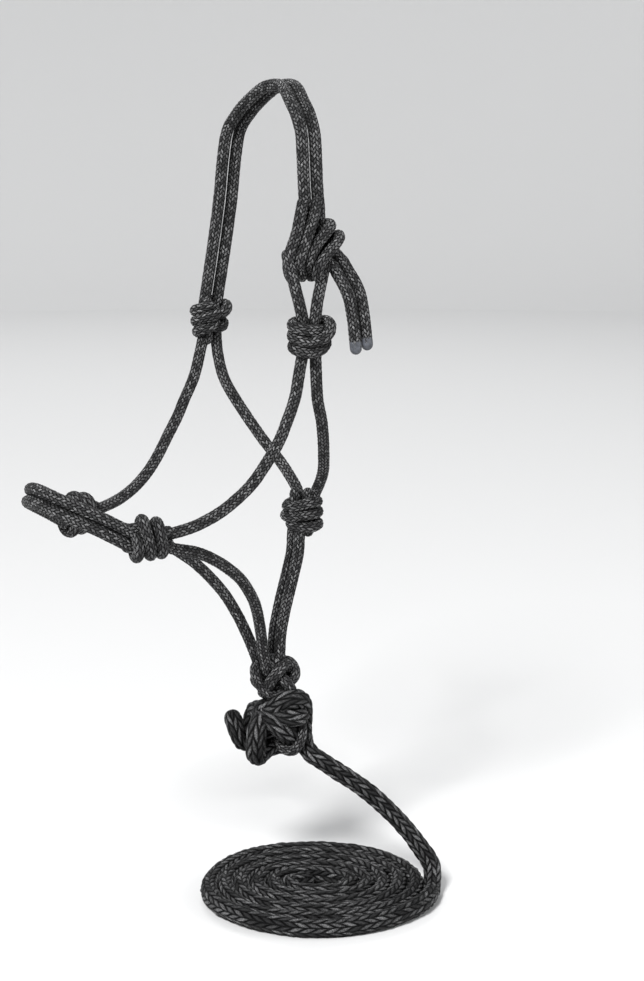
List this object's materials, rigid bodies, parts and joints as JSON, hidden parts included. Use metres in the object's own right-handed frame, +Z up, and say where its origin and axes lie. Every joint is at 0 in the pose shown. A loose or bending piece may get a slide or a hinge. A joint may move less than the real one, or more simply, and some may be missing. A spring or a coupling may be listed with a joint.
{
  "type": "rope halter",
  "caption": "Knotted rope halter for a small horse, with fiador and cheek knots, and a plaited lead tied under the chin and laid in a flat coil.",
  "frame": {"origin": "top of the horse's poll, where the two crown strands rest", "axes": "+Z up, -X to the horse's nose, -Y to the horse's left, the side on which the crown is tied"},
  "size_m": [0.2587, 0.1667, 0.5069],
  "materials": {
    "halter_rope": "black fine-braided polyester rope with grey gloss flecks",
    "lead_rope": "black coarse-plaited rope with a soft sheen",
    "sealed_tip": "heat-sealed and whipped rope end"
  },
  "bodies": {
    "halter": {"crown_strand_front": "halter_rope", "crown_strand_rear": "halter_rope", "crown_knot": "halter_rope", "eye_leg_front": "halter_rope", "eye_leg_rear": "halter_rope", "left_cheek_knot": "halter_rope", "right_cheek_knot": "halter_rope", "left_cheekpiece": "halter_rope", "right_cheekpiece": "halter_rope", "left_nose_knot": "halter_rope", "right_nose_knot": "halter_rope", "left_throat_latch": "halter_rope", "right_throat_latch": "halter_rope", "throat_knot": "halter_rope", "throat_strand_left": "halter_rope", "throat_strand_right": "halter_rope", "left_chin_strand": "halter_rope", "right_chin_strand": "halter_rope", "fiador_knot": "halter_rope", "lead_rope": "lead_rope", "lead_coil": "lead_rope"},
    "noseband": {"noseband_upper": "halter_rope", "noseband_lower": "halter_rope"},
    "tail_front": {"tail_front": "halter_rope", "tail_front_tip": "sealed_tip"},
    "tail_rear": {"tail_rear": "halter_rope", "tail_rear_tip": "sealed_tip"},
    "lead_hitch": {"tie_loop": "halter_rope", "lead_knot": "lead_rope", "lead_knot_end": "lead_rope"}
  },
  "joints": [
    {"name": "noseband_lift", "type": "hinge", "parent": "halter", "child": "noseband", "pos_m": [-0.117, 0, -0.252], "axis": [0, 1, 0], "range_deg": [-15, 15], "stiffness_Nm_per_rad": 0.15, "springref_deg": 0.57},
    {"name": "tail_front_swing", "type": "hinge", "parent": "halter", "child": "tail_front", "pos_m": [-0.001, -0.057, -0.101], "axis": [-0.8882, 0, -0.4594], "range_deg": [0, 45]},
    {"name": "tail_rear_swing", "type": "hinge", "parent": "halter", "child": "tail_rear", "pos_m": [0.006, -0.056, -0.098], "axis": [-0.8882, 0, -0.4594], "range_deg": [0, 45]},
    {"name": "lead_swing", "type": "hinge", "parent": "halter", "child": "lead_hitch", "pos_m": [-0.007, 0, -0.361], "axis": [0, 1, 0], "range_deg": [-15, 15], "deforming": ["lead_rope"]}
  ]
}
